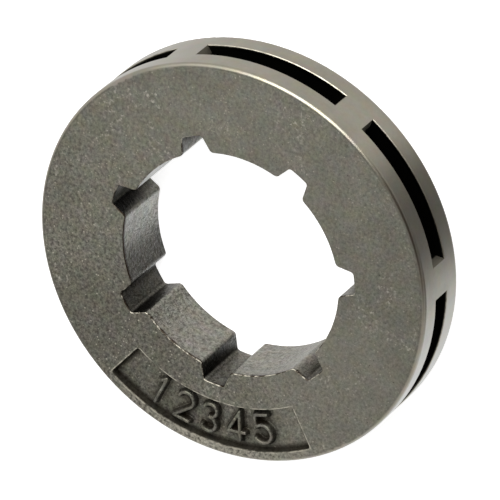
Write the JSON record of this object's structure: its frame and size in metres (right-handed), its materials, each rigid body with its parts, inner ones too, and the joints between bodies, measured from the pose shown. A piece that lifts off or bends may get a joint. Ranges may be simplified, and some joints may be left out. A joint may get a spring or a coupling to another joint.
{
  "type": "chainsaw rim sprocket",
  "caption": "One-piece steel ring with a splined bore, windows round the rim for the chain's drive links, and a sunk marking panel on one face.",
  "frame": {"origin": "centre of the bore on the plain back face, which the ring rests on", "axes": "+Z along the bore axis, out of the marked face; +X through the middle of the sunk panel, of one spline notch and of one web"},
  "size_m": [0.037, 0.037, 0.0063],
  "materials": {
    "sintered_steel": "dull grainy sintered steel, smoother and brighter on the rim and in the bore"
  },
  "bodies": {
    "root": {"rim_sprocket": "sintered_steel"}
  },
  "joints": []
}
